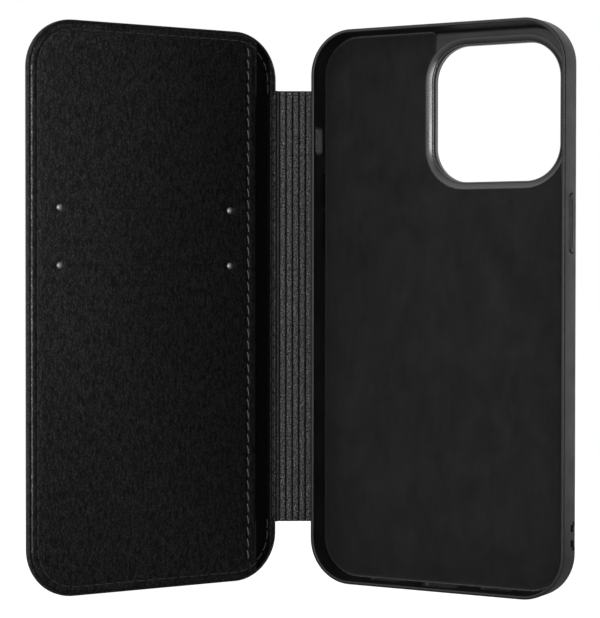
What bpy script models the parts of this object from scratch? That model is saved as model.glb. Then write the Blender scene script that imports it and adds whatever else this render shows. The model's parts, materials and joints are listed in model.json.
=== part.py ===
"""Phone wallet case: a moulded phone tray, a leather spine and a flap with two card slits.

The case stands upright and open. The tray is square to the axes and its open side faces -Y.
The spine turns about +Z at the tray's back left edge, and the flap turns about +Z at the spine's far edge.
"""
import math

import bmesh
import bpy
from mathutils import Matrix, Vector

MM = 0.001

# Tray, measured from its front left lower corner: X along the width, Y from the rim to the back
TRAY_WIDTH = 82.0 * MM
CASE_HEIGHT = 165.0 * MM
TRAY_DEPTH = 10.1 * MM
TRAY_CORNER = 13.1 * MM
WALL = 1.6 * MM
FLOOR_FACE = 8.9 * MM
BACK_ROUND = 2.5 * MM
RIM_ROUND = 0.35 * MM
LINING_THICK = 0.4 * MM
SHEET_GAP = 0.1 * MM
FIT_GAP = 0.3 * MM

# Camera cut-out in the tray, from the bezel's inner opening
CAMERA_CENTRE = (56.3 * MM, 139.25 * MM)
CAMERA_OPENING = (40.2 * MM, 39.9 * MM)
CAMERA_CORNER = 10.4 * MM
BEZEL_WALL = 1.0 * MM
BEZEL_FLANGE = 2.4 * MM
BEZEL_PROUD = 1.9 * MM
CAMERA_CHAMFER = 0.8 * MM
CHAMFER_DEPTH = 0.35 * MM
CHAMFER_PAST = 0.3 * MM
BEZEL_ROUND = 0.5 * MM
NOTCH_MARGIN = 2.0 * MM
NOTCH_REACH = 20.0 * MM

# Outer leather, one sheet in three stretches: back, spine and flap
SKIN_THICK = 0.8 * MM
BACK_INSET = 2.6 * MM
CREASE = 1.8 * MM
CREASE_GAP = 0.5 * MM
TAB_OVERLAP = 3.0 * MM
SKIN_ROUND = 0.5 * MM

# Spine
SPINE_LENGTH = 13.75 * MM
SPINE_HEIGHT = 130.9 * MM
SPINE_INNER_START = 1.0 * MM
STIFFENER_THICK = 0.3 * MM
SPINE_LINING_THICK = 0.4 * MM
RIB_PITCH = 1.98 * MM
RIB_FIRST = 1.73 * MM
RIB_GROOVE = 0.25 * MM
RIB_DEPTH = 0.14 * MM

# Flap, measured from its free edge
FLAP_WIDTH = 82.0 * MM
FLAP_CORNER = 14.1 * MM
FLAP_TURN = 0.7 * MM
BOARD_THICK = 0.6 * MM
PANEL_THICK = 0.5 * MM
DIVIDER_THICK = 0.2 * MM
PANEL_EDGE = 75.0 * MM
SLIT_HEIGHTS = (94.8 * MM, 111.3 * MM)
SLIT_OPENING = 0.4 * MM
RIVET_FREE = 9.7 * MM
RIVET_HINGE = 65.6 * MM
RIVET_RADIUS = 0.95 * MM
RIVET_RISE = 0.3 * MM
RIVET_SHANK = 0.5 * MM
RIVET_ROUND = 0.2 * MM
DIVIDER_BOX = (7.6 * MM, 69.7 * MM, 8.0 * MM, 103.0 * MM)
DIVIDER_CORNER = 3.0 * MM

# Thread
STITCH_INSET = 1.9 * MM
SPINE_STITCH_INSET = 1.3 * MM
THREAD_RADIUS = 0.16 * MM
THREAD_LIFT = 0.06 * MM
SEAM_PLACE = 72.5 * MM
SEAM_ENDS = (6.1 * MM, 160.7 * MM)
STEP_LENGTH = 1.5 * MM
TURN_STEPS = 10

# Buttons and small openings
BUTTON_WIDTH = 3.2 * MM
BUTTON_PROUD = 0.25 * MM
BUTTON_DEPTH_PLACE = 5.2 * MM
BUTTON_CORNER = 1.2 * MM
BUTTON_ROUND = 0.2 * MM
FLANGE_MARGIN = 0.6 * MM
FLANGE_THICK = 0.4 * MM
FLANGE_RECESS = 0.75 * MM
POWER_SPAN = (98.5 * MM, 115.1 * MM)
VOLUME_UP_SPAN = (112.7 * MM, 122.1 * MM)
VOLUME_DOWN_SPAN = (101.0 * MM, 110.4 * MM)
MUTE_SPAN = (126.8 * MM, 135.8 * MM)
MUTE_DEPTHS = (1.8 * MM, 6.2 * MM)
MUTE_CORNER = 1.6 * MM
PORT_SPAN = (34.2 * MM, 47.8 * MM)
PORT_DEPTHS = (1.9 * MM, 7.3 * MM)
SPEAKER_SPANS = ((17.5 * MM, 28.5 * MM), (53.5 * MM, 64.5 * MM))
SPEAKER_DEPTHS = (3.3 * MM, 5.9 * MM)
LANYARD_HEIGHTS = (16.0 * MM, 20.4 * MM)
LANYARD_DEPTH_PLACE = 6.9 * MM
LANYARD_RADIUS = 1.1 * MM
LANYARD_RECESS = 0.35 * MM
LANYARD_RECESS_HALF = 1.9 * MM

# Rest pose: fold of each crease, from flat
SPINE_FOLD = math.radians(31.5)
FLAP_FOLD = math.radians(30.7)

SKIN_MIDDLE = TRAY_DEPTH + SHEET_GAP + SKIN_THICK / 2
SPINE_BASE = (CASE_HEIGHT - SPINE_HEIGHT) / 2
SPINE_TOP = SPINE_BASE + SPINE_HEIGHT
PAST = 2.0 * MM
ROUND_END = 0.98
SHARP_ANGLE = math.radians(32)
TOLERANCE = 1e-6
NEARLY_ONE = 0.999


# ---------------------------------------------------------------- scene helpers

def clear_scene():
    for item in list(bpy.data.objects):
        bpy.data.objects.remove(item, do_unlink=True)


def make_collection(name):
    group = bpy.data.collections.new(name)
    bpy.context.scene.collection.children.link(group)
    return group


def make_material(name, colour, roughness, metallic=0.0):
    material = bpy.data.materials.new(name)
    material.use_nodes = True
    shader = material.node_tree.nodes["Principled BSDF"]
    shader.inputs["Base Color"].default_value = (*colour, 1.0)
    shader.inputs["Roughness"].default_value = roughness
    shader.inputs["Metallic"].default_value = metallic
    return material


def make_empty(name, place, turn=0.0, parent=None):
    empty = bpy.data.objects.new(name, None)
    empty.empty_display_size = 0.01
    empty.location = place
    empty.rotation_euler = (0.0, 0.0, turn)
    empty.parent = parent
    CASE.objects.link(empty)
    return empty


def make_object(name, shape, material, parent):
    mesh = bpy.data.meshes.new(name)
    shape.to_mesh(mesh)
    shape.free()
    piece = bpy.data.objects.new(name, mesh)
    piece.parent = parent
    if material is None:
        CUTTERS.objects.link(piece)
        piece.hide_render = True
        piece.display_type = "WIRE"
    else:
        CASE.objects.link(piece)
        mesh.materials.append(material)
        mesh.shade_smooth()
        mesh.set_sharp_from_angle(angle=SHARP_ANGLE)
    return piece


def combine(piece, other, operation="DIFFERENCE"):
    modifier = piece.modifiers.new(other.name, "BOOLEAN")
    modifier.operation = operation
    modifier.object = other


# ---------------------------------------------------------------- shape helpers

def block(low, high):
    """Box between two corners."""
    shape = bmesh.new()
    size = Vector(high) - Vector(low)
    middle = (Vector(high) + Vector(low)) / 2
    place = Matrix.Translation(middle) @ Matrix.Diagonal((*size, 1.0))
    bmesh.ops.create_cube(shape, size=1.0, matrix=place)
    return shape


def edges_along(shape, axis):
    return [edge for edge in shape.edges
            if abs((edge.verts[0].co - edge.verts[1].co).normalized()[axis]) > NEARLY_ONE]


def edges_on(shape, axis, place):
    return [edge for edge in shape.edges
            if all(abs(vert.co[axis] - place) < TOLERANCE for vert in edge.verts)]


def soften(shape, edges, radius, segments):
    bmesh.ops.bevel(shape, geom=edges, offset=radius, segments=segments, profile=0.5, affect="EDGES")
    return shape


def slab(low, high, corner, axis=1, segments=12):
    """Box whose four edges along one axis are rounded."""
    shape = block(low, high)
    return soften(shape, edges_along(shape, axis), corner, segments)


def rod(start, end, radius, sides=24):
    """Round bar between two points."""
    shape = bmesh.new()
    line = Vector(end) - Vector(start)
    turn = Vector((0, 0, 1)).rotation_difference(line).to_matrix().to_4x4()
    place = Matrix.Translation((Vector(start) + Vector(end)) / 2) @ turn
    bmesh.ops.create_cone(shape, cap_ends=True, segments=sides, radius1=radius, radius2=radius,
                          depth=line.length, matrix=place)
    return shape


def frame_slab(centre, opening, corner, margin, depths, segments=10):
    """Rounded slab round the camera cut-out, larger than its opening by a margin on each side."""
    half_x = opening[0] / 2 + margin
    half_z = opening[1] / 2 + margin
    low = (centre[0] - half_x, depths[0], centre[1] - half_z)
    high = (centre[0] + half_x, depths[1], centre[1] + half_z)
    return slab(low, high, corner + margin, segments=segments)


def thread(name, points, material, parent):
    """Thin tube along a list of points."""
    curve = bpy.data.curves.new(name, "CURVE")
    curve.dimensions = "3D"
    curve.bevel_depth = THREAD_RADIUS
    curve.bevel_resolution = 1
    curve.use_fill_caps = True
    line = curve.splines.new("POLY")
    line.points.add(len(points) - 1)
    for point, place in zip(line.points, points):
        point.co = (*place, 1.0)
    curve.materials.append(material)
    piece = bpy.data.objects.new(name, curve)
    piece.parent = parent
    CASE.objects.link(piece)
    return piece


# ---------------------------------------------------------------- tray

def tray_shell(parent, material):
    shape = slab((0, 0, 0), (TRAY_WIDTH, TRAY_DEPTH, CASE_HEIGHT), TRAY_CORNER)
    soften(shape, edges_on(shape, 1, TRAY_DEPTH), BACK_ROUND, 4)
    soften(shape, edges_on(shape, 1, 0.0), RIM_ROUND, 2)
    shell = make_object("tray_shell", shape, material, parent)
    cavity = slab((WALL, -PAST, WALL), (TRAY_WIDTH - WALL, FLOOR_FACE, CASE_HEIGHT - WALL),
                  TRAY_CORNER - WALL)
    combine(shell, make_object("cavity_cutter", cavity, None, parent))
    hole_margin = BEZEL_WALL + SHEET_GAP
    hole = frame_slab(CAMERA_CENTRE, CAMERA_OPENING, CAMERA_CORNER, hole_margin,
                      (FLOOR_FACE - PAST, TRAY_DEPTH + PAST))
    combine(shell, make_object("camera_cutter", hole, None, parent))
    combine(shell, make_object("camera_chamfer_cutter", chamfer_shape(hole_margin), None, parent))
    for name, shape in small_openings():
        combine(shell, make_object(name, shape, None, parent))
    return shell


def chamfer_shape(margin):
    """Tapered slab that bevels the camera cut-out's inner edge."""
    widening = CAMERA_CHAMFER * (1 + CHAMFER_PAST / CHAMFER_DEPTH)
    shape = frame_slab(CAMERA_CENTRE, CAMERA_OPENING, CAMERA_CORNER, margin,
                       (FLOOR_FACE - CHAMFER_PAST, FLOOR_FACE + CHAMFER_DEPTH))
    centre = Vector((CAMERA_CENTRE[0], 0, CAMERA_CENTRE[1]))
    for vert in shape.verts:
        if vert.co.y < FLOOR_FACE:
            outward = vert.co - centre
            vert.co.x += outward.x * 2 * widening / CAMERA_OPENING[0]
            vert.co.z += outward.z * 2 * widening / CAMERA_OPENING[1]
    return shape


def small_openings():
    """Cutters for the slots, windows and holes in the tray's walls, by name."""
    right = TRAY_WIDTH
    cutters = []
    for name, span, wall_sign in (("power", POWER_SPAN, 1), ("volume_up", VOLUME_UP_SPAN, -1),
                                  ("volume_down", VOLUME_DOWN_SPAN, -1)):
        outer = right if wall_sign > 0 else 0.0
        cutters.append((name + "_window_cutter",
                        side_slab(outer, wall_sign, -WALL - PAST, PAST, span, FIT_GAP)))
        recess = -WALL - PAST, -WALL + FLANGE_RECESS
        cutters.append((name + "_recess_cutter",
                        side_slab(outer, wall_sign, *recess, span, FIT_GAP + FLANGE_MARGIN)))
    mute = slab((-PAST, MUTE_DEPTHS[0], MUTE_SPAN[0]), (WALL + PAST, MUTE_DEPTHS[1], MUTE_SPAN[1]),
                MUTE_CORNER, axis=0, segments=4)
    cutters.append(("mute_cutter", mute))
    for number, (span, depths) in enumerate(((PORT_SPAN, PORT_DEPTHS), (SPEAKER_SPANS[0], SPEAKER_DEPTHS),
                                             (SPEAKER_SPANS[1], SPEAKER_DEPTHS))):
        corner = (depths[1] - depths[0]) / 2 * ROUND_END
        slot = slab((span[0], depths[0], -PAST), (span[1], depths[1], WALL + PAST), corner, axis=2,
                    segments=5)
        cutters.append(("base_slot_cutter_%d" % number, slot))
    for number, height in enumerate(LANYARD_HEIGHTS):
        hole = rod((right - WALL - PAST, LANYARD_DEPTH_PLACE, height),
                   (right + PAST, LANYARD_DEPTH_PLACE, height), LANYARD_RADIUS, sides=16)
        cutters.append(("lanyard_cutter_%d" % number, hole))
    half = LANYARD_RECESS_HALF
    recess = slab((right - LANYARD_RECESS, LANYARD_DEPTH_PLACE - half, LANYARD_HEIGHTS[0] - half),
                  (right + PAST, LANYARD_DEPTH_PLACE + half, LANYARD_HEIGHTS[1] + half),
                  half * ROUND_END, axis=0, segments=5)
    cutters.append(("lanyard_recess_cutter", recess))
    return cutters


def side_slab(outer, wall_sign, inner_reach, outer_reach, span, margin):
    """Rounded slab across a side wall; reaches are from the wall's outer face, outward positive."""
    ends = sorted((outer + wall_sign * inner_reach, outer + wall_sign * outer_reach))
    half = BUTTON_WIDTH / 2 + margin
    low = (ends[0], BUTTON_DEPTH_PLACE - half, span[0] - margin)
    high = (ends[1], BUTTON_DEPTH_PLACE + half, span[1] + margin)
    return slab(low, high, BUTTON_CORNER, axis=0, segments=4)


def button(name, span, wall_sign, parent, material):
    """Pad in its window with a flange that keeps it in, on an axis empty at its middle."""
    outer = TRAY_WIDTH if wall_sign > 0 else 0.0
    flange_face = -WALL + FLANGE_RECESS - SHEET_GAP
    middle = Vector((outer, BUTTON_DEPTH_PLACE, (span[0] + span[1]) / 2))
    axis = make_empty(name + "_axis", middle, parent=parent)
    pad = side_slab(outer, wall_sign, flange_face - FLANGE_THICK / 2, BUTTON_PROUD, span, 0.0)
    soften(pad, edges_on(pad, 0, outer + wall_sign * BUTTON_PROUD), BUTTON_ROUND, 2)
    flange = side_slab(outer, wall_sign, flange_face - FLANGE_THICK, flange_face, span, FLANGE_MARGIN)
    for shape in (pad, flange):
        bmesh.ops.translate(shape, verts=shape.verts, vec=-middle)
    piece = make_object(name, pad, material, axis)
    combine(piece, make_object(name + "_flange_guide", flange, None, axis), "UNION")
    return piece


def tray_lining(parent, material):
    inset = WALL + FIT_GAP
    face = FLOOR_FACE - SHEET_GAP
    shape = slab((inset, face - LINING_THICK, inset), (TRAY_WIDTH - inset, face, CASE_HEIGHT - inset),
                 TRAY_CORNER - inset)
    lining = make_object("tray_lining", shape, material, parent)
    left = CAMERA_CENTRE[0] - CAMERA_OPENING[0] / 2 - NOTCH_MARGIN
    base = CAMERA_CENTRE[1] - CAMERA_OPENING[1] / 2 - NOTCH_MARGIN
    notch = slab((left, face - PAST, base),
                 (TRAY_WIDTH + NOTCH_REACH, face + PAST, CASE_HEIGHT + NOTCH_REACH),
                 CAMERA_CORNER + NOTCH_MARGIN)
    combine(lining, make_object("notch_cutter", notch, None, parent))
    return lining


def camera_bezel(parent, material):
    tube_depths = (FLOOR_FACE + CHAMFER_DEPTH, SKIN_MIDDLE + SKIN_THICK / 2 + BEZEL_PROUD)
    tube = frame_slab(CAMERA_CENTRE, CAMERA_OPENING, CAMERA_CORNER, BEZEL_WALL, tube_depths)
    bezel = make_object("camera_bezel", tube, material, parent)
    flange_depths = (SKIN_MIDDLE + SKIN_THICK / 2 + SHEET_GAP, tube_depths[1])
    flange = frame_slab(CAMERA_CENTRE, CAMERA_OPENING, CAMERA_CORNER, BEZEL_FLANGE, flange_depths)
    soften(flange, edges_on(flange, 1, flange_depths[1]), BEZEL_ROUND, 2)
    combine(bezel, make_object("bezel_flange_guide", flange, None, parent), "UNION")
    opening = frame_slab(CAMERA_CENTRE, CAMERA_OPENING, CAMERA_CORNER, 0.0,
                         (tube_depths[0] - PAST, tube_depths[1] + PAST))
    combine(bezel, make_object("bezel_opening_cutter", opening, None, parent))
    return bezel


def back_skin(parent, material):
    near = SKIN_MIDDLE - SKIN_THICK / 2
    far = SKIN_MIDDLE + SKIN_THICK / 2
    shape = slab((BACK_INSET, near, BACK_INSET), (TRAY_WIDTH - BACK_INSET, far, CASE_HEIGHT - BACK_INSET),
                 TRAY_CORNER - BACK_INSET)
    skin = make_object("back_skin", shape, material, parent)
    tab = block((CREASE_GAP - CREASE, near, SPINE_BASE), (BACK_INSET + TAB_OVERLAP, far, SPINE_TOP))
    combine(skin, make_object("back_tab_guide", tab, None, parent), "UNION")
    hole = frame_slab(CAMERA_CENTRE, CAMERA_OPENING, CAMERA_CORNER, BEZEL_WALL + FIT_GAP,
                      (near - PAST, far + PAST))
    combine(skin, make_object("back_camera_cutter", hole, None, parent))
    return skin


# ---------------------------------------------------------------- spine, in its hinge's frame, along -X

def spine_sheet(name, near, thick, ends, parent, material):
    low = (-SPINE_LENGTH + ends, -near - thick, SPINE_BASE)
    high = (-ends, -near, SPINE_TOP)
    return make_object(name, block(low, high), material, parent)


def spine_pieces(parent, skin_material, stiffener_material, lining_material, thread_material):
    half = SKIN_THICK / 2
    spine_sheet("spine_skin", -half, SKIN_THICK, CREASE_GAP, parent, skin_material)
    spine_sheet("spine_stiffener", half + SHEET_GAP, STIFFENER_THICK, SPINE_INNER_START, parent,
                stiffener_material)
    lining_near = half + 2 * SHEET_GAP + STIFFENER_THICK
    lining = spine_sheet("spine_lining", lining_near, SPINE_LINING_THICK, SPINE_INNER_START, parent,
                         lining_material)
    face = -lining_near - SPINE_LINING_THICK
    place = RIB_FIRST
    number = 0
    while place < SPINE_LENGTH - SPINE_INNER_START - RIB_GROOVE:
        middle = -SPINE_LENGTH + place
        groove = block((middle - RIB_GROOVE / 2, face - PAST, SPINE_BASE - PAST),
                       (middle + RIB_GROOVE / 2, face + RIB_DEPTH, SPINE_TOP + PAST))
        combine(lining, make_object("rib_cutter_%d" % number, groove, None, parent))
        place += RIB_PITCH
        number += 1
    level = face - THREAD_RADIUS - THREAD_LIFT
    end = SPINE_INNER_START + THREAD_RADIUS
    for name, height in (("spine_stitch_top", SPINE_TOP - SPINE_STITCH_INSET),
                         ("spine_stitch_bottom", SPINE_BASE + SPINE_STITCH_INSET)):
        thread(name, [(-SPINE_LENGTH + end, level, height), (-end, level, height)], thread_material, parent)


# ---------------------------------------------------------------- flap, in its hinge's frame, along -X

def flap_x(from_free_edge):
    return from_free_edge - FLAP_WIDTH - CREASE


def flap_slab(inset, depths):
    return slab((flap_x(inset), depths[0], inset),
                (flap_x(FLAP_WIDTH - inset), depths[1], CASE_HEIGHT - inset),
                FLAP_CORNER - inset)


BOARD_FACE = -SKIN_THICK / 2 - SHEET_GAP - BOARD_THICK
FLAP_LINING_FACE = BOARD_FACE - SHEET_GAP - LINING_THICK
DIVIDER_FACE = FLAP_LINING_FACE - SHEET_GAP - DIVIDER_THICK
PANEL_FACE = DIVIDER_FACE - SHEET_GAP - PANEL_THICK


def flap_skin(parent, material):
    outer = SKIN_THICK / 2
    shape = flap_slab(0.0, (PANEL_FACE + FIT_GAP, outer))
    soften(shape, edges_on(shape, 1, outer), SKIN_ROUND, 2)
    skin = make_object("flap_skin", shape, material, parent)
    hollow = flap_slab(FLAP_TURN, (PANEL_FACE - PAST, -outer))
    combine(skin, make_object("flap_hollow_cutter", hollow, None, parent))
    gap = block((flap_x(FLAP_WIDTH - PAST), PANEL_FACE - PAST, SPINE_BASE), (PAST, -outer, SPINE_TOP))
    combine(skin, make_object("hinge_side_cutter", gap, None, parent))
    tab = block((-CREASE - TAB_OVERLAP, -outer, SPINE_BASE), (-CREASE_GAP, outer, SPINE_TOP))
    combine(skin, make_object("flap_tab_guide", tab, None, parent), "UNION")
    return skin


def flap_sheets(parent, board_material, lining_material, divider_material, panel_material):
    inset = FLAP_TURN + SHEET_GAP
    board = flap_slab(inset, (BOARD_FACE, BOARD_FACE + BOARD_THICK))
    make_object("flap_board", board, board_material, parent)
    shape = flap_slab(inset, (FLAP_LINING_FACE, FLAP_LINING_FACE + LINING_THICK))
    lining = make_object("flap_lining", shape, lining_material, parent)
    shape = slab((flap_x(DIVIDER_BOX[0]), DIVIDER_FACE, DIVIDER_BOX[2]),
                 (flap_x(DIVIDER_BOX[1]), DIVIDER_FACE + DIVIDER_THICK, DIVIDER_BOX[3]), DIVIDER_CORNER,
                 segments=4)
    divider = make_object("pocket_divider", shape, divider_material, parent)
    panel = make_object("pocket_panel", flap_slab(inset, (PANEL_FACE, PANEL_FACE + PANEL_THICK)),
                        panel_material, parent)
    trim = block((flap_x(PANEL_EDGE), PANEL_FACE - PAST, -PAST),
                 (0.0, PANEL_FACE + PAST, CASE_HEIGHT + PAST))
    combine(panel, make_object("panel_edge_cutter", trim, None, parent))
    for number, height in enumerate(SLIT_HEIGHTS):
        half = SLIT_OPENING / 2
        slit = block((flap_x(RIVET_FREE), PANEL_FACE - PAST, height - half),
                     (flap_x(RIVET_HINGE), PANEL_FACE + PAST, height + half))
        combine(panel, make_object("slit_cutter_%d" % number, slit, None, parent))
    for name, place in rivet_places():
        hole = rod((place[0], PANEL_FACE - PAST, place[1]), (place[0], BOARD_FACE - SHEET_GAP / 2, place[1]),
                   RIVET_SHANK + SHEET_GAP, sides=16)
        cutter = make_object(name + "_hole_cutter", hole, None, parent)
        for sheet in (lining, divider, panel):
            combine(sheet, cutter)


def rivet_places():
    heights = (("lower", SLIT_HEIGHTS[0]), ("upper", SLIT_HEIGHTS[1]))
    sides = (("free", RIVET_FREE), ("hinge", RIVET_HINGE))
    return [("rivet_%s_%s" % (level, side), (flap_x(place), height))
            for level, height in heights for side, place in sides]


def rivet(name, place, parent, material):
    """Domed head with a shank through the panel and the lining."""
    axis = make_empty(name + "_axis", (place[0], PANEL_FACE - SHEET_GAP / 2, place[1]), parent=parent)
    head = rod((0, 0, 0), (0, -RIVET_RISE, 0), RIVET_RADIUS, sides=24)
    soften(head, edges_on(head, 1, -RIVET_RISE), RIVET_ROUND, 3)
    piece = make_object(name, head, material, axis)
    depth = FLAP_LINING_FACE + LINING_THICK - PANEL_FACE
    shank = rod((0, -RIVET_RISE / 2, 0), (0, depth, 0), RIVET_SHANK, sides=16)
    combine(piece, make_object(name + "_shank_guide", shank, None, axis), "UNION")
    return piece


def stitch_level(from_free_edge):
    """Height of a thread that lies on the panel, and steps down to the lining past its edge."""
    step = (from_free_edge - PANEL_EDGE - FIT_GAP) / STEP_LENGTH
    step = min(max(step, 0.0), 1.0)
    surface = PANEL_FACE + (FLAP_LINING_FACE - PANEL_FACE) * step
    return surface - THREAD_RADIUS - THREAD_LIFT


def perimeter_route():
    """Thread's points from the spine's top end round the flap to its bottom end."""
    turn = FLAP_CORNER - STITCH_INSET
    near = FLAP_WIDTH - STITCH_INSET
    upper = SPINE_TOP - SPINE_STITCH_INSET
    lower = SPINE_BASE + SPINE_STITCH_INSET
    corners = ((FLAP_WIDTH - FLAP_CORNER, CASE_HEIGHT - FLAP_CORNER),
               (FLAP_CORNER, CASE_HEIGHT - FLAP_CORNER),
               (FLAP_CORNER, FLAP_CORNER), (FLAP_WIDTH - FLAP_CORNER, FLAP_CORNER))
    flat = [(FLAP_WIDTH - FIT_GAP - FLAP_TURN, upper), (near, upper)]
    for quarter, (centre_x, centre_z) in enumerate(corners):
        for step in range(TURN_STEPS + 1):
            angle = math.pi / 2 * (quarter + step / TURN_STEPS)
            flat.append((centre_x + turn * math.cos(angle), centre_z + turn * math.sin(angle)))
    flat += [(near, lower), (FLAP_WIDTH - FIT_GAP - FLAP_TURN, lower)]
    return [(flap_x(place), stitch_level(place), height) for place, height in flat]


def flap_threads(parent, material):
    thread("flap_perimeter_stitch", perimeter_route(), material, parent)
    seam = [(flap_x(SEAM_PLACE), stitch_level(SEAM_PLACE), height) for height in SEAM_ENDS]
    thread("pocket_seam_stitch", seam, material, parent)


# ---------------------------------------------------------------- assembly

def footprint_centre():
    """Middle of the case's box, on the surface that it stands on."""
    bpy.context.view_layer.update()
    graph = bpy.context.evaluated_depsgraph_get()
    corners = []
    for item in CASE.objects:
        if item.type != "EMPTY":
            placed = item.evaluated_get(graph)
            corners += [placed.matrix_world @ vert.co for vert in placed.to_mesh().vertices]
            placed.to_mesh_clear()
    xs = [corner.x for corner in corners]
    ys = [corner.y for corner in corners]
    return Vector(((min(xs) + max(xs)) / 2, (min(ys) + max(ys)) / 2, 0.0))


def build():
    leather = make_material("outer_leather", (0.012, 0.012, 0.013), 0.55)
    panel_leather = make_material("panel_leather", (0.012, 0.012, 0.013), 0.5)
    spine_leather = make_material("spine_leather", (0.03, 0.03, 0.032), 0.6)
    smooth_lining = make_material("smooth_lining", (0.01, 0.01, 0.011), 0.7)
    soft_plastic = make_material("soft_plastic", (0.02, 0.02, 0.021), 0.5)
    bezel_plastic = make_material("bezel_plastic", (0.02, 0.02, 0.021), 0.35)
    microfibre = make_material("microfibre", (0.015, 0.015, 0.016), 0.95)
    board = make_material("stiff_board", (0.25, 0.24, 0.22), 0.8)
    cloth = make_material("pocket_cloth", (0.02, 0.02, 0.02), 0.9)
    dark_thread = make_material("dark_thread", (0.02, 0.02, 0.02), 0.6)
    steel = make_material("rivet_steel", (0.7, 0.7, 0.72), 0.25, metallic=1.0)

    base = make_empty("case_base", (0, 0, 0))
    tray_shell(base, soft_plastic)
    tray_lining(base, microfibre)
    camera_bezel(base, bezel_plastic)
    back_skin(base, leather)
    button("power_button", POWER_SPAN, 1, base, soft_plastic)
    button("volume_up_button", VOLUME_UP_SPAN, -1, base, soft_plastic)
    button("volume_down_button", VOLUME_DOWN_SPAN, -1, base, soft_plastic)

    spine_axis = make_empty("spine_axis", (-CREASE, SKIN_MIDDLE, 0), SPINE_FOLD, base)
    spine_pieces(spine_axis, leather, board, spine_leather, dark_thread)

    flap_axis = make_empty("flap_axis", (-SPINE_LENGTH, 0, 0), FLAP_FOLD, spine_axis)
    flap_skin(flap_axis, leather)
    flap_sheets(flap_axis, board, smooth_lining, cloth, panel_leather)
    for name, place in rivet_places():
        rivet(name, place, flap_axis, steel)
    flap_threads(flap_axis, dark_thread)

    base.location = -footprint_centre()
    bpy.context.view_layer.update()


clear_scene()
CASE = make_collection("phone_wallet_case")
CUTTERS = make_collection("cutters")
build()
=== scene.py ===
import json
import math

import bmesh
import bpy
from mathutils import Matrix, Vector
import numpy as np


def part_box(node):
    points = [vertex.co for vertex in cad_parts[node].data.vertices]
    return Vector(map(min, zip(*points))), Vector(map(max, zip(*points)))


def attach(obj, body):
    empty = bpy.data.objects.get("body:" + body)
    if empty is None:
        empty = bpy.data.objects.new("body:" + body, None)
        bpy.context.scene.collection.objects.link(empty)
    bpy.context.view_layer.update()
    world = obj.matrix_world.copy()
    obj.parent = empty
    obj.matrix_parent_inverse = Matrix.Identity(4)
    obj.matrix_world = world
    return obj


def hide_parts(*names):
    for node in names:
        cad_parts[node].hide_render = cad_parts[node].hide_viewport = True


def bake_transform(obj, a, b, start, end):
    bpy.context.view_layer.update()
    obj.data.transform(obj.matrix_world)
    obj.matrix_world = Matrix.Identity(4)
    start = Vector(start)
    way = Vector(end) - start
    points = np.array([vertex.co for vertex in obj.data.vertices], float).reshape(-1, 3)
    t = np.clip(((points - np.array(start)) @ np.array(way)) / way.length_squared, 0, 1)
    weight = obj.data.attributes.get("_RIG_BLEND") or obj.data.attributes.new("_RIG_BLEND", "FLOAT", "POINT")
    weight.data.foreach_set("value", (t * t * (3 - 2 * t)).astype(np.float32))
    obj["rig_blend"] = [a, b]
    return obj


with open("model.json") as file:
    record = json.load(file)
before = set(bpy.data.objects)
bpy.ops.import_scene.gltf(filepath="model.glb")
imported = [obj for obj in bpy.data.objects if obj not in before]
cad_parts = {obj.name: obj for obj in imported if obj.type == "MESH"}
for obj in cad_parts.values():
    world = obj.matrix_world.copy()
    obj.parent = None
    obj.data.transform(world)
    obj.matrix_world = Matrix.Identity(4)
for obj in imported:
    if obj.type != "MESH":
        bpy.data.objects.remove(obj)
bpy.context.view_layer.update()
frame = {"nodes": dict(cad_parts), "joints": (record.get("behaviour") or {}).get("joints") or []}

MM = 0.001

# Case, in millimetres, in the same frames as the CAD model
WIDTH = 82.0
HEIGHT = 165.0
TRAY_DEPTH = 10.1
TRAY_CORNER = 13.1
WALL = 1.6
FLOOR_FACE = 8.9
LINING_FACE = 8.4
SKIN_MIDDLE = 10.6
CAMERA_CENTRE = (56.3, 139.25)
CAMERA_OPENING = (40.2, 39.9)
CAMERA_CORNER = 10.4
CREASE = 1.8
SPINE_LENGTH = 13.75
SPINE_BASE = 17.05
SPINE_TOP = 147.95
FLAP_CORNER = 14.1
HINGE_EDGE = -CREASE
FREE_EDGE = -CREASE - WIDTH
PANEL_FACE = -2.5
PANEL_EDGE = 75.0
SLITS = (94.8, 111.3)
RIVETS_AT = (9.7, 65.6)
SEAM_AT = 71.9
SPINE_FACE = -1.3
RIB_FIRST = 0.55
RIB_PITCH = 1.98
BACK_ROUND = 2.5
BACK_INSET = 2.6
BACK_CORNER = 11.6
SKIN_HALF = 0.4
SKIN_HOLE_MARGIN = 1.3
LINING_MARGIN = 2.2
SHEET_INSET = 0.8
CHANNEL_START = 74.6
CHANNEL_END = 80.0
BAND_START = 79.6
BAND_INSET = 0.6
BAND_END = 7.6

# Stitches, in millimetres
STITCH_INSET = 2.8
STITCH_PITCH = 3.5
HINGE_STITCH_INSET = 1.15
SPINE_STITCH_INSET = 1.3

# Buttons: node, span of heights, side of the tray (1 is right)
BUTTONS = (("power_button", (98.5, 115.1), 1), ("volume_up_button", (112.7, 122.1), -1),
           ("volume_down_button", (101.0, 110.4), -1))

# How deep cutters reach behind a wall's outer face and how far they stand out of it
CUT_REACH = 3.6
CUT_PAST = 2.0

# Places beside a crease where the outer leather is divided
CREASE_STEPS = (0.2, 0.5, 0.9, 1.4, 2.0, 3.0)

# Rounded corners never get smaller than this, in millimetres
SMALLEST_RADIUS = 0.02

# Edges sharper than this stay sharp, in degrees: as built, and after a cut
BUILT_ANGLE = 40
CUT_ANGLE = 32

# Main camera, in the tray's frame: place in millimetres, direction, roll in radians, lens in millimetres
EYE = (303.9, -529.17, 92.58)
LOOK = (-0.50238, 0.86448, -0.0175)
ROLL = 0.001
LENS = 122.0
SENSOR_WIDTH = 36.0

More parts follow.
